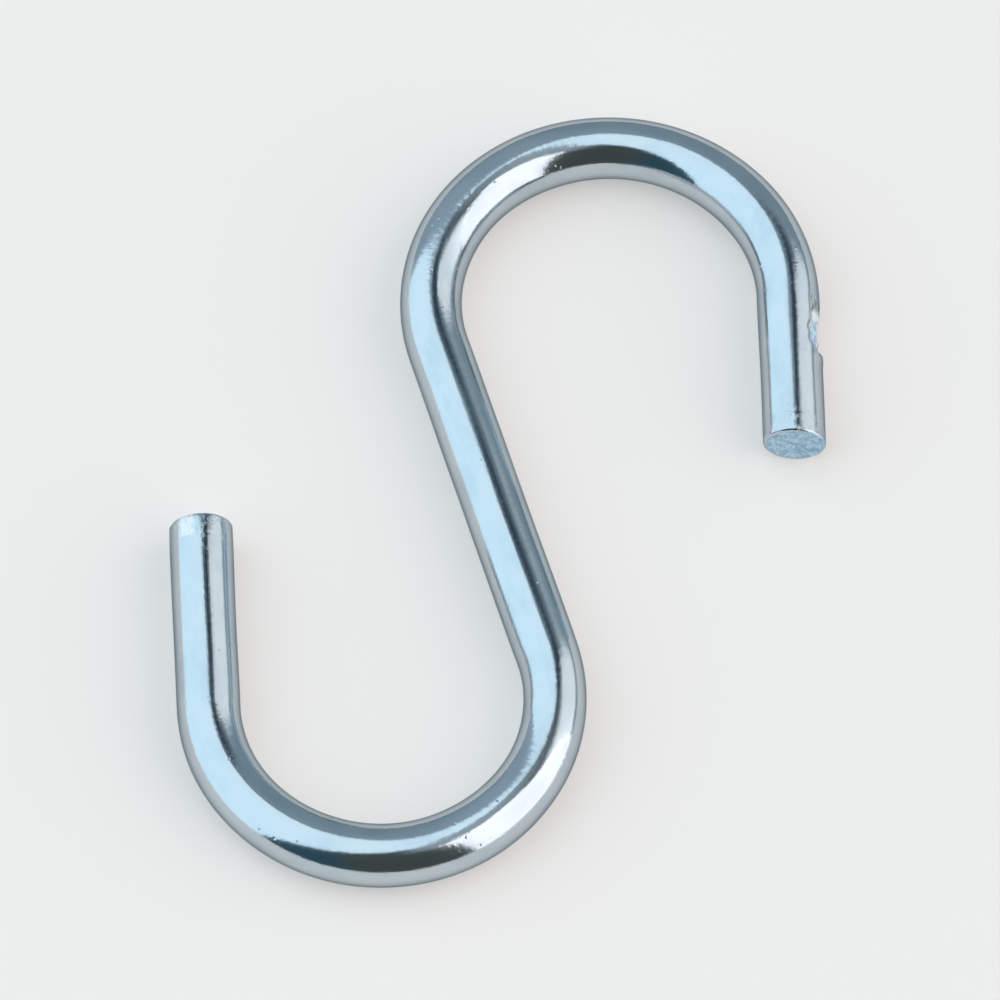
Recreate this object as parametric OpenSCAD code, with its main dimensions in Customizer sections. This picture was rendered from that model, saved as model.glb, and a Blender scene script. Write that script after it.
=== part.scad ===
// S hook, bent cold from one length of round steel wire and plated afterwards.
// It lies flat, with its underside on Z = 0 and the middle of its outline on the Z axis.
// Seen from above, the spine leans to the left. The upper hook opens towards -Y on the right,
// the lower hook opens towards +Y on the left, and each ends in a straight leg cut off square.

/* [Wire] */
// Diameter of the wire
wire_d = 2.8; // [1:0.1:5]
// Width of the broken edge around each cut end
edge_break = 0.15; // [0.05:0.05:0.3]
// How much thinner the wire is where bending has stretched it
bend_thinning = 0.02; // [0.02:0.01:0.1]

/* [Spine] */
// Length of the straight wire between the two bends
spine_length = 15.6; // [4:0.1:60]
// Angle by which the spine leans to the left of the Y axis
spine_lean = 17.5; // [0:0.5:30]

/* [Upper hook] */
// Diameter of the space inside the upper bend
upper_bend_d = 12.9; // [6:0.1:40]
// Length of the straight leg after the upper bend
upper_leg = 7.4; // [2:0.1:25]
// Angle by which the upper leg spreads outwards from the Y axis
upper_splay = 1.5; // [-5:0.5:30]

/* [Lower hook] */
// Diameter of the space inside the lower bend
lower_bend_d = 12.1; // [6:0.1:40]
// Length of the straight leg after the lower bend
lower_leg = 8.8; // [2:0.1:25]
// Angle by which the lower leg spreads outwards from the Y axis
lower_splay = 3; // [-5:0.5:30]

/* [Hidden] */
$fn = 96;

wire_r = wire_d / 2;
bent_wire_r = wire_r - bend_thinning / 2;

// How far the full wire carries on into each bend before it thins
run_in = 0.05;

// Each open hook is four values: the direction from the spine to the middle of its bend, the
// direction from there to its leg, the bend's radius at the middle of the wire, and the leg's length
upper = [spine_lean, upper_splay, upper_bend_d / 2 + wire_r, upper_leg];
lower = [spine_lean + 180, lower_splay + 180, lower_bend_d / 2 + wire_r, lower_leg];

function to_bend(hook) = hook[0];
function to_leg(hook) = hook[1];
function bend_r(hook) = hook[2];
function leg_length(hook) = hook[3];

function unit(a) = [cos(a), sin(a)];

// The angle that the bend turns the wire through, and the heading of the leg towards its cut end
function turn(hook) = to_bend(hook) + 180 - to_leg(hook);
function leg_heading(hook) = to_leg(hook) - 90;

// The middle of the bend, and the point of the leg that lies this far past the bend
function bend_middle(hook) =
    spine_length / 2 * unit(to_bend(hook) + 90) + bend_r(hook) * unit(to_bend(hook));
function leg_point(hook, past) =
    bend_middle(hook) + bend_r(hook) * unit(to_leg(hook)) + past * unit(leg_heading(hook));

// Whether the outside of the bend faces direction a somewhere, and how far it reaches that way
function bend_faces(hook, a) = ((to_bend(hook) + 180 - a) % 360 + 360) % 360 <= turn(hook);
function bend_reach(hook, a) = bend_middle(hook) * unit(a) + bend_r(hook) + bent_wire_r;

// How far a round section across the leg reaches in direction a
function section_reach(hook, past, section_r, a) =
    leg_point(hook, past) * unit(a) + section_r * abs(sin(a - leg_heading(hook)));

// How far one open hook reaches in direction a, at its bend and at both rims of its cut end
function hook_reach(hook, a) = max([
    if (bend_faces(hook, a)) bend_reach(hook, a),
    section_reach(hook, leg_length(hook) - edge_break, wire_r, a),
    section_reach(hook, leg_length(hook), wire_r - edge_break, a)
]);
function reach(a) = max(hook_reach(upper, a), hook_reach(lower, a));

// The middle of the outline, measured from the middle of the spine
outline_middle = [reach(0) - reach(180), reach(90) - reach(270)] / 2;

// Round wire up the Y axis from the origin, tapering from one radius to another
module wire(length, r1 = wire_r, r2 = wire_r) {
    rotate([-90, 0, 0]) cylinder(h = length, r1 = r1, r2 = r2);
}

// A straight leg, cut off square at its end, with the edge of the cut broken
module leg(length) {
    translate([0, -run_in, 0]) wire(run_in + length - edge_break);
    translate([0, length - edge_break, 0]) wire(edge_break, wire_r, wire_r - edge_break);
}

// One open hook, from its cut end back along the leg and round the bend to the spine
module open_hook(hook) {
    translate(bend_middle(hook)) rotate(to_leg(hook)) {
        translate([bend_r(hook), 0, 0]) rotate(180) leg(leg_length(hook));
        rotate_extrude(angle = turn(hook)) translate([bend_r(hook), 0]) circle(r = bent_wire_r);
    }
}

// The straight length between the bends
module spine() {
    rotate(spine_lean) translate([0, -spine_length / 2 - run_in, 0]) wire(spine_length + 2 * run_in);
}

module hook() {
    color([0.72, 0.80, 0.87])
        translate([-outline_middle[0], -outline_middle[1], wire_r]) {
            spine();
            open_hook(upper);
            open_hook(lower);
        }
}

hook();
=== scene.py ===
import math

import bpy
import numpy as np
from mathutils import Matrix, Vector, noise


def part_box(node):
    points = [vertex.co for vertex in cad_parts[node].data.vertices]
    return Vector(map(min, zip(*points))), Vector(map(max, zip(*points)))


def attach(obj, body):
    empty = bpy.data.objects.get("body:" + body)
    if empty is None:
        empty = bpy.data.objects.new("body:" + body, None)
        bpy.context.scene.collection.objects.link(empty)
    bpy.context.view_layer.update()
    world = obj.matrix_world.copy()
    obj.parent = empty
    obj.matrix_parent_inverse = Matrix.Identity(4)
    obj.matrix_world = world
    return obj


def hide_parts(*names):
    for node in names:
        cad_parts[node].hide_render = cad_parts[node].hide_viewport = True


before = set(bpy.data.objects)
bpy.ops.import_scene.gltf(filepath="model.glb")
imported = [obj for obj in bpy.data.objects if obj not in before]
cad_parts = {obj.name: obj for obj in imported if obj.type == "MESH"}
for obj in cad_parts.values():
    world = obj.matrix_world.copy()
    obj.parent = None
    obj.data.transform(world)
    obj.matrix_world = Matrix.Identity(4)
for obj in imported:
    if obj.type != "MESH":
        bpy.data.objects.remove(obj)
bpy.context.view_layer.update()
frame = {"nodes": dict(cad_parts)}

mm = 0.001
print("frame loaded:", ", ".join(frame["nodes"]))


# A socket of a node tree. Arithmetic on it adds Math nodes
class Net:
    def __init__(self, tree, socket=None):
        self.tree, self.socket = tree, socket

    # Any node: its settings first, then the values or links of its sockets
    def node(self, kind, settings=None, sockets=None, out=0):
        made = self.tree.nodes.new(kind)
        for name, value in (settings or {}).items():
            setattr(made, name, value)
        for name, value in (sockets or {}).items():
            if isinstance(value, Net):
                self.tree.links.new(value.socket, made.inputs[name])
            else:
                made.inputs[name].default_value = value
        return Net(self.tree, made.outputs[out] if made.outputs else None)

    def math(self, operation, *values):
        return self.node("ShaderNodeMath", {"operation": operation}, dict(enumerate(values)))

    def __add__(self, other):
        return self.math("ADD", self, other)

    def __sub__(self, other):
        return self.math("SUBTRACT", self, other)

    def __rsub__(self, other):
        return self.math("SUBTRACT", other, self)

    def __mul__(self, other):
        return self.math("MULTIPLY", self, other)

    __radd__, __rmul__ = __add__, __mul__

    # 0 below low and 1 above high, with a smooth rise between them
    def rise(self, low, high):
        settings = {"interpolation_type": "SMOOTHSTEP"}
        return self.node("ShaderNodeMapRange", settings, {0: self, 1: low, 2: high})

    # 1 below low and 0 above high
    def fall(self, low, high):
        return 1 - self.rise(low, high)

    # This colour where the mask is 0, and the other one where it is 1
    def mix(self, other, mask):
        return blend(self, other, mask)

    # The vector with each part multiplied by its own number
    def stretched(self, x, y, z):
        return self.node("ShaderNodeVectorMath", {"operation": "MULTIPLY"}, {0: self, 1: (x, y, z)})

    def part(self, axis):
        return self.node("ShaderNodeSeparateXYZ", None, {0: self}, out=axis)

    # Cloudy noise from 0 to 1, with this many features to a unit across the wire and along it
    def cloud(self, across, along, detail, roughness):
        place = self.stretched(across, across, along)
        sockets = {"Vector": place, "Scale": 1.0, "Detail": detail, "Roughness": roughness}
        return self.node("ShaderNodeTexNoise", None, sockets)


# A mix of two colours, either of which may be plain numbers. In the Mix node, sockets 6 and 7 are the
# colours and output 2 is the mixed one
def blend(first, second, mask):
    net = next(value for value in (first, second, mask) if isinstance(value, Net))
    first, second = (v if isinstance(v, Net) else (*v, 1.0) for v in (first, second))
    return net.node("ShaderNodeMix", {"data_type": "RGBA"}, {0: mask, 6: first, 7: second}, out=2)


# The emptied node tree of a material or a world
def emptyNet(owner):
    owner.use_nodes = True
    owner.node_tree.nodes.clear()
    return Net(owner.node_tree)


def addObject(name, data):
    made = bpy.data.objects.new(name, data)
    bpy.context.scene.collection.objects.link(made)
    return made


cameraSetup = {
    "elevation": 62.1,  # degrees above the floor, looking along +Y
    "distance": 391.0,  # mm from the point that it looks at
    "target": (0.06, -0.27, 1.4),  # mm
    "lens": 324.0,  # mm
    "sensor": 36.0,  # mm, the long side
    "nearest": 0.01,  # m, and nothing nearer is drawn
    "furthest": 20.0,  # m
}


def makeCamera(setup):
    data = bpy.data.cameras.new("camera")
    data.lens, data.sensor_width = setup["lens"], setup["sensor"]
    data.clip_start, data.clip_end = setup["nearest"], setup["furthest"]
    camera = addObject("camera", data)
    tilt = math.radians(setup["elevation"])
    back = Vector((0.0, -math.cos(tilt), math.sin(tilt)))
    camera.location = (Vector(setup["target"]) + back * setup["distance"]) * mm
    camera.rotation_mode = "QUATERNION"
    camera.rotation_quaternion = (-back).to_track_quat("-Z", "Y")
    bpy.context.scene.camera = camera


makeCamera(cameraSetup)
print("camera set")

# The bent wire, with lengths in mm and angles in degrees
hook = {
    "wire": 2.8,  # diameter
    "spine": 15.6,  # straight length between the bends
    "lean": 17.5,  # of the spine, to the left of the Y axis
    "upperSpace": 12.9,  # diameter inside the upper bend
    "upperLeg": 7.4,
    "upperSplay": 1.5,  # of the leg, outwards from the Y axis
    "lowerSpace": 12.1,
    "lowerLeg": 8.8,
    "lowerSplay": 3.0,
    "runOut": 1.2,  # over which the marks of bending fade at each end of a bend
    "sides": 88,  # faces round the wire
    "step": 0.13,  # between one ring of vertices and the next
    "fineStep": 0.05,  # the same near the cut ends and the scrape
    "fineLength": 1.6,  # of wire with the fine rings at each cut end
    "fineMargin": 0.4,  # of wire with them on each side of the scrape
}
wireRadius = hook["wire"] / 2


# The stretches of the wire from the upper cut end to the lower one: length, and turn to the left
def stretches():
    upperRadius = hook["upperSpace"] / 2 + wireRadius
    lowerRadius = hook["lowerSpace"] / 2 + wireRadius
    upperTurn = math.radians(180 + hook["lean"] - hook["upperSplay"])
    lowerTurn = math.radians(180 + hook["lean"] - hook["lowerSplay"])
    return [
        (hook["upperLeg"], 0.0),
        (upperRadius * upperTurn, upperTurn),
        (hook["spine"], 0.0),
        (lowerRadius * lowerTurn, -lowerTurn),
        (hook["lowerLeg"], 0.0),
    ]


wireLength = sum(length for length, _ in stretches())
rounding = 1e-9  # mm, so that a point where a stretch starts is always in it


# Middle of the wire and its heading at each distance along it
def centreline(distances):
    point = np.zeros(2)
    heading = math.radians(90 + hook["upperSplay"])
    points = np.zeros((len(distances), 2))
    headings = np.zeros(len(distances))
    start = 0.0
    for length, turn in stretches():
        inside = distances >= start - rounding
        along = distances[inside] - start
        angle = heading + turn * along / length
        if turn:
            radius = length / turn
            across = np.stack([np.sin(angle) - math.sin(heading), math.cos(heading) - np.cos(angle)], 1)
            points[inside] = point + radius * across
            headings[inside] = angle
            finish = heading + turn
            step = (math.sin(finish) - math.sin(heading), math.cos(heading) - math.cos(finish))
            point = point + radius * np.array(step)
            heading = finish
        else:
            forward = np.array([math.cos(heading), math.sin(heading)])
            points[inside] = point + along[:, None] * forward
            headings[inside] = heading
            point = point + length * forward
        start += length
    return points, headings


# From 0 to 1 and level at both
def smooth(value):
    value = np.clip(value, 0.0, 1.0)
    return value * value * (3 - 2 * value)


def noiseAt(places):
    return np.array([noise.noise(Vector(place)) for place in places])


# 1 where the wire is bent, 0 where it is straight, and between them over the run-out of a bend
def bentShare(distances):
    share = np.zeros(len(distances))
    start = 0.0
    for length, turn in stretches():
        if turn:
            rising = np.clip((distances - start) / hook["runOut"] + 0.5, 0, 1)
            falling = np.clip((start + length - distances) / hook["runOut"] + 0.5, 0, 1)
            share = np.maximum(share, np.minimum(rising, falling))
        start += length
    return smooth(share)


# Form of the wire's side, in mm
surface = {
    "under": 0.02,  # how far the mean surface lies below the full radius
    "waves": 0.016,  # height of the long waves that drawing and bending left
    "waveScale": 0.42,  # waves to a mm round the wire
    "waveStretch": 2,  # how much longer they are along it
    "waveGain": 2.0,  # the noise is multiplied by this and then cut off at full height
    "thinning": 0.01,  # on the outside and inside of a bend
    "tipTaper": 0.014,  # narrowing of each cut end
    "tipLength": 1.06,  # of the tapered end
    "tipGroove": 0.003,  # depth of the line where the taper starts
    "grooveWidth": 0.07,
}

# The scrape on the outside of the upper leg. Each ripple of its outline is a height as a share of the
# scrape's half length or half angle, a pace in radians to a radian or a mm, and a start in radians
scrape = {
    "middle": 5.85,  # mm from the cut end
    "halfLength": 1.45,  # mm
    "angle": 169.0,  # degrees round the wire from its left side, over its top
    "halfAngle": 42.0,  # degrees
    "endRipples": ((0.14, 4.3, 2), (0.05, 15, 0)),
    "sideRipples": ((0.10, 2.7, 0), (0.04, 9.1, 2)),
    "flatness": 1.25,  # above 1 it has a level bottom from side to side
    "steepness": 3.4,  # of its end nearer the tip
    "runOut": 1.7,  # half lengths over which it gets shallow towards the bend
    "depth": 0.28,  # mm
    "lip": 0.03,  # mm of metal pushed up at its end
    "lipAt": -1.1,  # half lengths from the middle
    "lipWidth": 0.12,  # half lengths
}


def ripple(waves, at):
    return sum(height * np.sin(at * pace + start) for height, pace, start in waves)


# Where the scrape has cut in, deepest at the end nearer the tip, and where it pushed metal up
def scraped(angle, along):
    end = (along - scrape["middle"]) / scrape["halfLength"]
    end = end + ripple(scrape["endRipples"], angle)
    side = (np.degrees(angle) - scrape["angle"]) / scrape["halfAngle"]
    side = side + ripple(scrape["sideRipples"], along)
    across = smooth(scrape["flatness"] * (1 - side**2))
    bowl = across * smooth((1 + end) * scrape["steepness"]) * smooth((1 - end) / scrape["runOut"])
    lip = np.exp(-(((end - scrape["lipAt"]) / scrape["lipWidth"]) ** 2)) * across
    return bowl, lip


# Height of the side of the wire above its mean, in mm, on a grid of distances along it and angles round it
def sideRelief(angle, along):
    place = [np.cos(angle) * wireRadius, np.sin(angle) * wireRadius, along / surface["waveStretch"]]
    place = np.stack(place, -1) * surface["waveScale"]
    waves = noiseAt(place.reshape(-1, 3)).reshape(angle.shape)
    height = np.clip(waves * surface["waveGain"], -1, 1) * surface["waves"]
    height -= surface["thinning"] * bentShare(along[:, 0])[:, None] * np.cos(angle) ** 2

    fromTip = np.minimum(along, wireLength - along)
    height -= surface["tipTaper"] * smooth(1 - fromTip / surface["tipLength"])
    fromGroove = (fromTip - surface["tipLength"]) / surface["grooveWidth"]
    height -= surface["tipGroove"] * np.exp(-(fromGroove**2))

    bowl, lip = scraped(angle, along)
    return height - scrape["depth"] * bowl + scrape["lip"] * lip


# The two cut ends, in mm, with angles in degrees round the wire as in the scrape
cutEnds = {
    "upper": {
        "lean": 4.5,  # of the cut from square
        "leanTo": 178.0,  # the side that stays longest
        "edge": 0.10,  # length of the rounded edge
        "rollOver": 0.17,  # the same where the shears rolled it over
        "rollSide": 60.0,
        "break": 0.034,  # depth of the broken face
        "seed": 10,
    },
    "lower": {
        "lean": 1.5,
        "leanTo": 15.0,
        "edge": 0.11,
        "rollOver": 0.30,
        "rollSide": 35.0,
        "break": 0.030,
        "seed": 15,
    },
}

# What both cuts share
cutShape = {
    "edgeRings": 7,  # of vertices, round the edge
    "faceRings": 22,  # across the face
    "ragged": 0.45,  # share of the edge's length that comes and goes
    "raggedScale": 4,  # how quickly it does so round the wire
    "deepest": 0.2,  # mm that the edge takes off the radius at most
    "faceFade": 6,  # the break has its full depth from one part in this many of the radius inwards
    "tornFrom": 0.35,  # mm from the middle towards the rolled side, where the shears let go
    "tornFade": 0.25,  # mm
    "ridgeNoise": (5.5, 0.9, 3.0),  # features to a mm across the cut and down it, and a seed
    "lumpNoise": (2.6, 2.6, 9.0),
    "even": 0.9,  # share of the depth that is the same all over
    "ridges": 0.55,  # height as a share of the depth, and the next two likewise
    "lumps": 1.1,
    "tornDip": 0.35,
    "shearedLumps": 0.35,  # share of the lumps that is left where the shears cut
}


# Length of the ragged rounded edge at each angle
def cutEdge(cut, angles):
    roll = np.clip(np.cos(angles - math.radians(cut["rollSide"])), 0, 1) ** 2
    edge = cut["edge"] + (cut["rollOver"] - cut["edge"]) * roll
    scale = cutShape["raggedScale"]
    ragged = noiseAt((math.cos(a) * scale, math.sin(a) * scale, cut["seed"]) for a in angles)
    return edge * (1 + cutShape["ragged"] * ragged)


# How far the leaning cut falls short of the full length at each point
def cutLean(cut, x, y):
    leanTo = math.radians(cut["leanTo"])
    return (wireRadius - x * math.cos(leanTo) - y * math.sin(leanTo)) * math.tan(math.radians(cut["lean"]))


# Where the side of the wire starts, clear of the whole edge of the cut
def cutReach(cut, angles):
    lean = cutLean(cut, wireRadius * np.cos(angles), wireRadius * np.sin(angles))
    return (cutEdge(cut, angles) + lean).max() + hook["fineStep"] / 2


def cutNoise(across, down, pattern):
    perAcross, perDown, seed = pattern
    return noiseAt((a * perAcross, d * perDown, seed) for a, d in zip(across, down))


# How far the broken face dips below the flat cut: ridges from the shears, then the torn part
def breakDepth(cut, x, y):
    rollSide = math.radians(cut["rollSide"])
    down = x * math.cos(rollSide) + y * math.sin(rollSide)
    across = -x * math.sin(rollSide) + y * math.cos(rollSide)
    torn = smooth((cutShape["tornFrom"] - down) / cutShape["tornFade"])
    ridges = cutShape["ridges"] * cutNoise(across, down, cutShape["ridgeNoise"]) * (1 - torn)
    lumps = cutShape["lumps"] * cutNoise(across, down, cutShape["lumpNoise"])
    lumps = lumps * (cutShape["shearedLumps"] + (1 - cutShape["shearedLumps"]) * torn)
    return cut["break"] * (cutShape["even"] + ridges + lumps + cutShape["tornDip"] * torn)


# The rings of a cut end from the side of the wire inwards: how far each falls short of the full length,
# and its radius, at each angle. The radii that it is given are the side's, where the edge starts
def cutRings(cut, angles, radii):
    edge = cutEdge(cut, angles)
    inner = radii - np.minimum(edge, cutShape["deepest"])
    rings = []

    def addRing(back, radius, broken):
        x, y = radius * np.cos(angles), radius * np.sin(angles)
        rings.append((back + cutLean(cut, x, y) + broken * breakDepth(cut, x, y), radius))

    for k in range(cutShape["edgeRings"] + 1):
        turn = math.pi / 2 * k / cutShape["edgeRings"]
        addRing(edge * (1 - math.sin(turn)), inner + (radii - inner) * math.cos(turn), 0.0)
    for k in range(1, cutShape["faceRings"]):
        share = k / cutShape["faceRings"]
        addRing(0.0, inner * (1 - share), smooth(share * cutShape["faceFade"]))
    return rings


# Distances along the wire of the rings of its side, close together where it has fine shapes
def ringDistances():
    places = [0.0]
    while places[-1] < wireLength:
        at = places[-1]
        nearTip = min(at, wireLength - at) < hook["fineLength"]
        nearScrape = abs(at - scrape["middle"]) < scrape["halfLength"] + hook["fineMargin"]
        places.append(at + (hook["fineStep"] if nearTip or nearScrape else hook["step"]))
    return np.array(places[:-1])


# Every ring from the upper cut to the lower one: distance along the wire and radius, at each angle
def wireRings(angles):
    upper, lower = cutEnds["upper"], cutEnds["lower"]
    middles = ringDistances()
    clear = (middles > cutReach(upper, angles)) & (middles < wireLength - cutReach(lower, angles))
    middles = middles[clear]
    angleGrid, alongGrid = np.meshgrid(angles, middles)
    radii = wireRadius - surface["under"] + sideRelief(angleGrid, alongGrid)
    rings = cutRings(upper, angles, radii[0])[::-1]
    rings += zip(alongGrid, radii)
    rings += [(wireLength - short, radius) for short, radius in cutRings(lower, angles, radii[-1])]
    return np.array([ring[0] for ring in rings]), np.array([ring[1] for ring in rings])


# Faces between neighbouring rings, and round the vertex that closes each end
def wireFaces(ringCount, sides, closers):
    faces = []
    lastRing = (ringCount - 1) * sides
    for ring in range(ringCount - 1):
        for side in range(sides):
            a, b = ring * sides + side, ring * sides + (side + 1) % sides
            faces.append((a, b, b + sides, a + sides))
    for side in range(sides):
        after = (side + 1) % sides
        faces.append((closers[0], after, side))
        faces.append((closers[1], lastRing + side, lastRing + after))
    return faces


# How far the plain wire moves for its outline to sit in the middle of the CAD node's box, in mm
def wireShift(points=4000):
    low, high = (np.array(corner)[:2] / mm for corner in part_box("hook"))
    line, headings = centreline(np.linspace(0, wireLength, points))
    outwards = np.stack([-np.sin(headings), np.cos(headings)], 1) * wireRadius
    outline = np.vstack([line + outwards, line - outwards])
    return (low + high) / 2 - (outline.min(0) + outline.max(0)) / 2


def addAttribute(mesh, name, kind, part, values):
    mesh.attributes.new(name, kind, "POINT").data.foreach_set(part, values.reshape(-1))


def makeWire(name):
    sides = hook["sides"]
    angles = np.arange(sides) * 2 * math.pi / sides
    alongs, radii = wireRings(angles)
    points, headings = centreline(np.clip(alongs.reshape(-1), 0, wireLength))
    left = np.stack([-np.sin(headings), np.cos(headings)], 1)
    leftwards = (radii * np.cos(angles)).reshape(-1)
    upwards = (radii * np.sin(angles)).reshape(-1)
    place = np.zeros((len(points), 3))
    place[:, :2] = points + left * leftwards[:, None]
    place[:, 2] = wireRadius + upwards
    straightened = np.stack([leftwards, upwards, alongs.reshape(-1)], 1)

    # One vertex closes the middle of each cut
    closers = []
    for ring in (0, len(alongs) - 1):
        rows = slice(ring * sides, (ring + 1) * sides)
        closers.append(len(place))
        place = np.vstack([place, place[rows].mean(0)])
        straightened = np.vstack([straightened, straightened[rows].mean(0)])
    place[:, :2] += wireShift()

    mesh = bpy.data.meshes.new(name)
    mesh.from_pydata((place * mm).tolist(), [], wireFaces(len(alongs), sides, closers))
    mesh.validate()
    turn = np.arctan2(straightened[:, 1], straightened[:, 0]) % (2 * math.pi)
    addAttribute(mesh, "wireSpace", "FLOAT_VECTOR", "vector", straightened)
    addAttribute(mesh, "bent", "FLOAT", "value", bentShare(straightened[:, 2]))
    addAttribute(mesh, "scraped", "FLOAT", "value", scraped(turn, straightened[:, 2])[0])
    mesh.shade_smooth()
    return addObject(name, mesh)


# Finish of the wire, with lengths in mm on the wire as if it were straight. A pattern is its features to
# a mm round the wire and along it, and then the detail and roughness of its noise. Other pairs are
# ranges: where something starts and where it is full, or for a name in End, where it starts to fade and
# where it is gone
plating = {
    "patterns": {
        "lines": (9, 0.22, 3.0, 0.65),  # that the die drew
        "broadLines": (3.2, 0.10, 1.0, 0.5),
        "clouds": (0.9, 0.45, 3.0, 0.6),  # of the passivate
        "grain": (4.2, 4.2, 2.0, 0.5),
        "fineGrain": (11, 11, 2.0, 0.5),
        "mottle": (3.4, 3.4, 4.0, 0.62),
        "speckle": (9, 9, 2.0, 0.5),
        "scuffs": (5, 2.2, 4.0, 0.7),
        "torn": (6, 0.9, 3.0, 0.6),  # metal in the scrape
    },
    "side": {
        "colour": (0.54, 0.605, 0.64),
        "deepColour": (0.475, 0.545, 0.60),  # where the passivate is thicker
        "deep": (0.35, 0.75),
        "edgeTint": (0.36, 0.39, 0.41),  # reflection at a glancing angle
        "roughness": 0.105,
        "lineRoughness": 0.08,
        "cloudRoughness": 0.04,
        "lineHeight": 0.0028,
        "broadLineShare": 1.6,  # of the line height
        "grainHeight": 0.0027,
        "bendGrainHeight": 0.0014,  # more of it in the bends
        "fineGrainHeight": 0.0005,
    },
    # Round spots, each in a cell of its own: cells to a mm, radii as shares of a cell, and which of the
    # cell's random numbers chooses the cells that have one
    "pits": {
        "cells": 1.9,
        "radiusEnd": (0.04, 0.17),
        "channel": 0,
        "chosen": (0.72, 0.80),
        "stain": 0.3,  # share of the cut faces' colour
        "roughness": 0.1,
        "depth": 0.0050,
    },
    "nodules": {
        "cells": 2.3,
        "radiusEnd": (0.02, 0.20),
        "channel": 1,
        "chosen": (0.78, 0.82),
        "height": 0.0075,
        "straight": 0.25,  # share of the height where the wire isn't bent
    },
    # Handling marks near the tips
    "scuffs": {
        "where": (0.52, 0.72),
        "fromTipEnd": (0.2, 2.4),
        "colour": (0.68, 0.73, 0.76),
        "cover": 0.7,
        "roughness": 0.16,
        "dull": 0.45,  # how much less of a metal it is
        "height": 0.006,
    },
    # A painted highlight: a pale, dull patch on the upper left of the lower tip
    "paintedHighlight": {
        "left": (0.22, 0.42),
        "leftEnd": (0.78, 1.0),
        "up": (0.1, 0.3),
        "fromTip": (1.15, 0.95),
        "where": (0.30, 0.50),
        "colour": (0.93, 0.94, 0.95),
        "roughness": 0.3,
        "dull": 0.7,
    },
    # Bare metal in the scrape, in ranges of the scrape's depth, with a painted shadow along its shallow
    # rim
    "gouge": {
        "bare": (0.10, 0.35),
        "colour": (0.93, 0.94, 0.93),
        # Dark torn metal, and also the painted shadow along the scrape's rim
        "tornDarkAndRimShadowColour": (0.16, 0.18, 0.19),
        "dark": (0.60, 0.70),
        # Where the painted shadow lies along the shallow rim of the scrape
        "rim": (0.01, 0.06),
        "rimEnd": (0.10, 0.20),
        "rimWhere": (0.45, 0.60),
        "rimShadowCover": 0.75,
        "roughness": 0.26,
        "dull": 0.55,
        "height": 0.024,
    },
    "cut": {
        "colour": (0.36, 0.52, 0.66),
        "paleColour": (0.64, 0.83, 0.96),
        "pale": (0.40, 0.62),
        "mottleShare": 0.55,  # of the pale pattern, and the rest of it is speckle
        "insideEnd": (0.24, 0.10),  # under the wire's radius
        "ragged": 0.30,  # by which that comes and goes
        "fromTipEnd": (0.03, 0.14),
        "roughness": 0.52,
        "mottleRoughness": 0.25,
        "height": 0.0150,
        "speckleHeight": 0.35,  # share of the height
    },
}


# 1 in the middle of each spot and 0 outside them
def spots(net, place, kind):
    sockets = {"Vector": place, "Scale": kind["cells"]}
    fromMiddle = net.node("ShaderNodeTexVoronoi", None, sockets, out="Distance")
    chance = net.node("ShaderNodeTexVoronoi", None, sockets, out="Color").part(kind["channel"])
    return fromMiddle.fall(*kind["radiusEnd"]) * chance.rise(*kind["chosen"])


# 1 in the painted highlight on the upper left of the lower tip
def paintedHighlightMask(paintedHighlight, place, mottle):
    left, up, along = (place.part(axis) for axis in range(3))
    start, full = (wireLength - short for short in paintedHighlight["fromTip"])
    onSide = left.rise(*paintedHighlight["left"]) * left.fall(*paintedHighlight["leftEnd"]) * up.rise(*paintedHighlight["up"])
    return onSide * along.rise(start, full) * mottle.rise(*paintedHighlight["where"])


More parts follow.
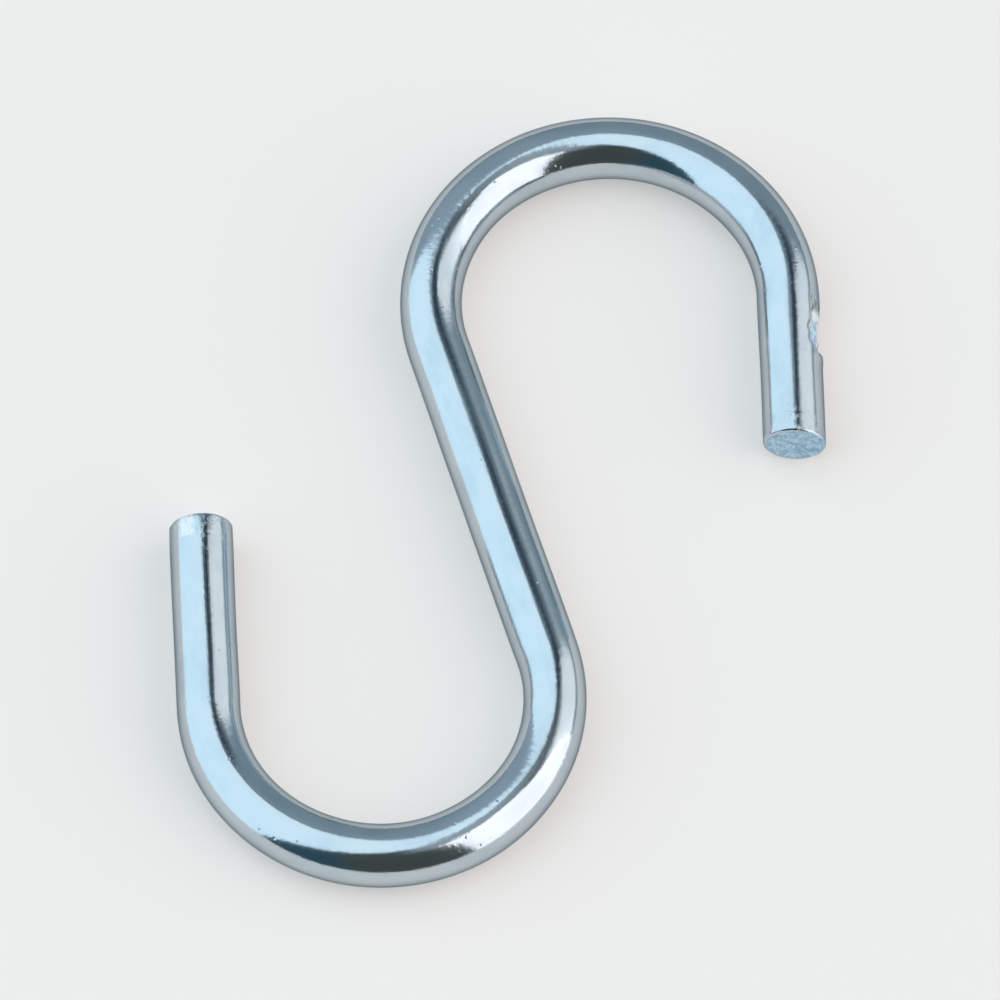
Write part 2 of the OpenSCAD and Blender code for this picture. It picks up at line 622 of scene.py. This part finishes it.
def makePlating():
    material = bpy.data.materials.new("zincPlatedWire")
    net = emptyNet(material)
    place = net.node("ShaderNodeAttribute", {"attribute_name": "wireSpace"}, out="Vector")
    bent = net.node("ShaderNodeAttribute", {"attribute_name": "bent"}, out="Fac")
    depth = net.node("ShaderNodeAttribute", {"attribute_name": "scraped"}, out="Fac")
    along = place.part(2)
    fromTip = net.math("MINIMUM", along, wireLength - along)
    across = place.stretched(1, 1, 0)
    radius = net.node("ShaderNodeVectorMath", {"operation": "LENGTH"}, {0: across}, out="Value")
    pattern = {name: place.cloud(*values) for name, values in plating["patterns"].items()}
    lines, clouds, mottle, speckle = (pattern[name] for name in ("lines", "clouds", "mottle", "speckle"))

    # Where each finish is
    side, pit, nodule, scuff = (plating[name] for name in ("side", "pits", "nodules", "scuffs"))
    paintedHighlight, gouge, cut = (plating[name] for name in ("paintedHighlight", "gouge", "cut"))
    pits = spots(net, place, pit)
    nodules = spots(net, place, nodule) * (nodule["straight"] + (1 - nodule["straight"]) * bent)
    scuffs = pattern["scuffs"].rise(*scuff["where"]) * fromTip.fall(*scuff["fromTipEnd"])
    # Where the painted highlight lies on the lower tip
    paintedHighlightShare = paintedHighlightMask(paintedHighlight, place, mottle)
    gouged = depth.rise(*gouge["bare"])
    # Painted shadow along the shallow rim of the scrape
    gougeRimShadow = depth.rise(*gouge["rim"]) * depth.fall(*gouge["rimEnd"]) * mottle.rise(*gouge["rimWhere"])
    insideEnd = (wireRadius - inside for inside in cut["insideEnd"])
    onSide = (radius + cut["ragged"] * (mottle - 0.5)).rise(*insideEnd) * fromTip.rise(*cut["fromTipEnd"])
    onCut = 1 - onSide

    colour = blend(side["colour"], side["deepColour"], clouds.rise(*side["deep"]))
    colour = colour.mix(scuff["colour"], scuffs * scuff["cover"])
    colour = colour.mix(cut["colour"], pits * pit["stain"])
    bareMetal = blend(gouge["colour"], gouge["tornDarkAndRimShadowColour"], pattern["torn"].rise(*gouge["dark"]))
    colour = colour.mix(bareMetal, gouged)
    # Painted shadow on the scrape's rim
    colour = colour.mix(gouge["tornDarkAndRimShadowColour"], gougeRimShadow * gouge["rimShadowCover"])
    # Painted highlight: near white on the upper left of the lower tip
    colour = colour.mix(paintedHighlight["colour"], paintedHighlightShare)
    pale = (mottle * cut["mottleShare"] + speckle * (1 - cut["mottleShare"])).rise(*cut["pale"])
    colour = colour.mix(blend(cut["colour"], cut["paleColour"], pale), onCut)

    sideRoughness = (
        side["roughness"]
        + side["lineRoughness"] * (lines - 0.5)
        + side["cloudRoughness"] * clouds
        + scuff["roughness"] * scuffs
        + pit["roughness"] * pits
        + gouge["roughness"] * gouged
        + paintedHighlight["roughness"] * paintedHighlightShare
    )
    cutRoughness = cut["roughness"] + cut["mottleRoughness"] * (mottle - 0.5)

    sideHeight = (
        side["lineHeight"] * (lines + side["broadLineShare"] * pattern["broadLines"])
        + (side["grainHeight"] + side["bendGrainHeight"] * bent) * pattern["grain"]
        + side["fineGrainHeight"] * pattern["fineGrain"]
        - pit["depth"] * pits
        + nodule["height"] * nodules
        + scuff["height"] * scuffs
        + gouge["height"] * gouged * pattern["torn"]
    )
    cutHeight = cut["height"] * (mottle + cut["speckleHeight"] * speckle)
    height = sideHeight * (1 - onCut) + cutHeight * onCut
    looks = {
        "Base Color": colour,
        "Metallic": 1 - gouge["dull"] * gouged - paintedHighlight["dull"] * paintedHighlightShare - scuff["dull"] * scuffs,
        "Roughness": sideRoughness * (1 - onCut) + cutRoughness * onCut,
        "Specular Tint": (*side["edgeTint"], 1.0),
        "Normal": net.node("ShaderNodeBump", None, {"Strength": 1.0, "Distance": mm, "Height": height}),
    }
    shader = net.node("ShaderNodeBsdfPrincipled", None, looks)
    net.node("ShaderNodeOutputMaterial", None, {"Surface": shader})
    return material


wire = makeWire("hookWire")
wire.data.materials.append(makePlating())
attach(wire, "root")
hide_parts("hook")
print("wire made:", len(wire.data.polygons), "faces")

floorSetup = {
    "size": 3.0,  # m
    "colour": (0.93, 0.845, 0.78),
    "glow": 0.35,  # share of plain white that the paper shows
}


def makeFloor(setup):
    half = setup["size"] / 2
    mesh = bpy.data.meshes.new("floor")
    corners = [(-half, -half, 0), (half, -half, 0), (half, half, 0), (-half, half, 0)]
    mesh.from_pydata(corners, [], [(0, 1, 2, 3)])
    material = bpy.data.materials.new("palePaper")
    net = emptyNet(material)
    paper = net.node("ShaderNodeBsdfDiffuse", None, {"Color": (*setup["colour"], 1.0)})
    white = net.node("ShaderNodeEmission", None, {"Color": (1.0, 1.0, 1.0, 1.0), "Strength": 1.0})
    seen = net.node("ShaderNodeLightPath", out="Is Camera Ray")
    mirrored = net.node("ShaderNodeLightPath", out="Is Glossy Ray")
    through = net.node("ShaderNodeLightPath", out="Is Transmission Ray")
    shown = net.math("MAXIMUM", seen, net.math("MAXIMUM", mirrored, through)) * setup["glow"]
    both = net.node("ShaderNodeMixShader", None, {0: shown, 1: paper, 2: white})
    net.node("ShaderNodeOutputMaterial", None, {"Surface": both})
    mesh.materials.append(material)
    floor = addObject("floor", mesh)


# Lamps are flat panels that face the hook, with all angles in degrees. Azimuth 0 is +X and 90 is +Y, and a
# lean tips the top of a panel towards +Y. Sideways and upwards say where its edges are, seen from the
# hook and measured from the line at its azimuth and elevation. Its level is how bright it looks, where 1
# is white
studio = {
    "distance": 0.9,  # m
    "lamps": {
        "window": {
            "azimuth": 176.8,
            "elevation": 31.0,
            "lean": 9.0,
            "sideways": (-36.3, 41.2),
            "upwards": (-40, 66),
            "level": (1.01, 1.21, 1.34),
        },
        "keyLamp": {
            "azimuth": 339,
            "elevation": 3,
            "lean": 0,
            "sideways": (-30, 30),
            "upwards": (-9, 66),
            "level": (1.68, 1.59, 1.63),
        },
    },
}


def direction(azimuth, elevation):
    turn, tilt = math.radians(azimuth), math.radians(elevation)
    return Vector((math.cos(turn) * math.cos(tilt), math.sin(turn) * math.cos(tilt), math.sin(tilt)))


def makeLamp(name, lamp, distance):
    ahead = direction(lamp["azimuth"], lamp["elevation"])
    up = direction(lamp["azimuth"] + 180, 90 - lamp["elevation"])
    side = up.cross(ahead)
    lean = math.radians(lamp["lean"]) * (1 if side.y > 0 else -1)
    side, up = side * math.cos(lean) - up * math.sin(lean), up * math.cos(lean) + side * math.sin(lean)
    left, right = (math.tan(math.radians(angle)) * distance for angle in lamp["sideways"])
    bottom, top = (math.tan(math.radians(angle)) * distance for angle in lamp["upwards"])
    data = bpy.data.lights.new(name, "AREA")
    data.shape, data.size, data.size_y = "RECTANGLE", right - left, top - bottom
    brightest = max(lamp["level"])
    data.color = [part / brightest for part in lamp["level"]]
    data.energy = brightest * math.pi * data.size * data.size_y
    made = addObject(name, data)
    made.visible_camera = False
    made.matrix_world = Matrix((side, up, ahead)).transposed().to_4x4()
    made.location = ahead * distance + side * (left + right) / 2 + up * (bottom + top) / 2


# Walls of the room, as colours in each direction from the hook. A facing is the direction across an
# edge between two walls. Pairs are ranges, as in the plating, of the direction's part along a facing,
# to the right or upwards
room = {
    "frontLeft": (0.040, 0.095, 0.130),
    "frontRight": (0.075, 0.090, 0.080),
    "frontRightwards": (-0.40, -0.10),
    "lampFacing": (-0.156, 0.988, 0.0),  # across the start of the back, at the key lamp
    "windowFacing": (0.49, 0.76, -0.43),  # across its other end, at the far edge of the window
    "pastLamp": (-0.01, 0.01),
    "pastWindow": (-0.04, 0.0),
    "back": (0.28, 0.365, 0.42),
    "backNearWindow": (0.37, 0.47, 0.56),
    "nearWindow": (0.35, 1.15),
    "nearWindowLeft": 1.5,  # weight in it of the way to the left against the way up
    "corner": (0.022, 0.042, 0.062),
    "cornerFacing": (-0.586, 0.753, -0.299),  # across the edge between the side and the corner
    "cornerEnd": (0.02, 0.11),
    "cornerUp": (0.54, 0.81),
    "side": (1.13, 1.165, 1.175),  # pale wall between the key lamp and the corner
    "sideNearLamp": (1.48, 1.49, 1.52),
    "sideFromLamp": (0.0, 0.28),
    "sideUp": (0.05, 0.24),
    "sideUpEnd": (0.77, 0.89),
    "highUp": (0.45, 0.70),  # from the low part of the side to the high part
    "sideLowEnd": (-0.125, 0.045),
    "sideHighEnd": (-0.095, -0.055),
    "ceiling": (0.44, 0.50, 0.545),
    "ceilingUp": (0.85, 0.98),
    "ceilingRightwards": (0.06, 0.14),
}


# How far each direction points past an edge with this facing
def pastEdge(net, ray, facing):
    return net.node("ShaderNodeVectorMath", {"operation": "DOT_PRODUCT"}, {0: ray, 1: facing}, out="Value")


def makeRoom():
    world = bpy.data.worlds.new("studio")
    bpy.context.scene.world = world
    net = emptyNet(world)
    ray = net.node("ShaderNodeTexCoord", out="Generated")
    rightwards, up = ray.part(0), ray.part(2)
    lampEdge, cornerEdge, windowEdge = (
        pastEdge(net, ray, room[facing]) for facing in ("lampFacing", "cornerFacing", "windowFacing")
    )
    front = blend(room["frontLeft"], room["frontRight"], rightwards.rise(*room["frontRightwards"]))
    nearWindow = (up - room["nearWindowLeft"] * rightwards).rise(*room["nearWindow"])
    back = blend(room["back"], room["backNearWindow"], nearWindow)
    back = back.mix(room["corner"], cornerEdge.fall(*room["cornerEnd"]) * up.rise(*room["cornerUp"]))

    # The pale side ends at the corner, sharply high up and softly low down
    high = up.rise(*room["highUp"])
    highSide = cornerEdge.fall(*room["sideHighEnd"]) * high
    lowSide = cornerEdge.fall(*room["sideLowEnd"]) * (1 - high)
    behind = lampEdge.rise(*room["pastLamp"])
    onSide = behind * (highSide + lowSide) * up.rise(*room["sideUp"]) * up.fall(*room["sideUpEnd"])
    side = blend(room["sideNearLamp"], room["side"], lampEdge.rise(*room["sideFromLamp"]))
    back = back.mix(side, onSide)

    walls = front.mix(back, behind * windowEdge.rise(*room["pastWindow"]))
    onCeiling = up.rise(*room["ceilingUp"]) * rightwards.rise(*room["ceilingRightwards"])
    walls = walls.mix(room["ceiling"], onCeiling)
    background = net.node("ShaderNodeBackground", None, {"Color": walls, "Strength": 1.0})
    net.node("ShaderNodeOutputWorld", None, {"Surface": background})


makeFloor(floorSetup)
for lampName, lamp in studio["lamps"].items():
    makeLamp(lampName, lamp, studio["distance"])
makeRoom()
bpy.context.scene.view_settings.view_transform = "Standard"
print("studio lit")
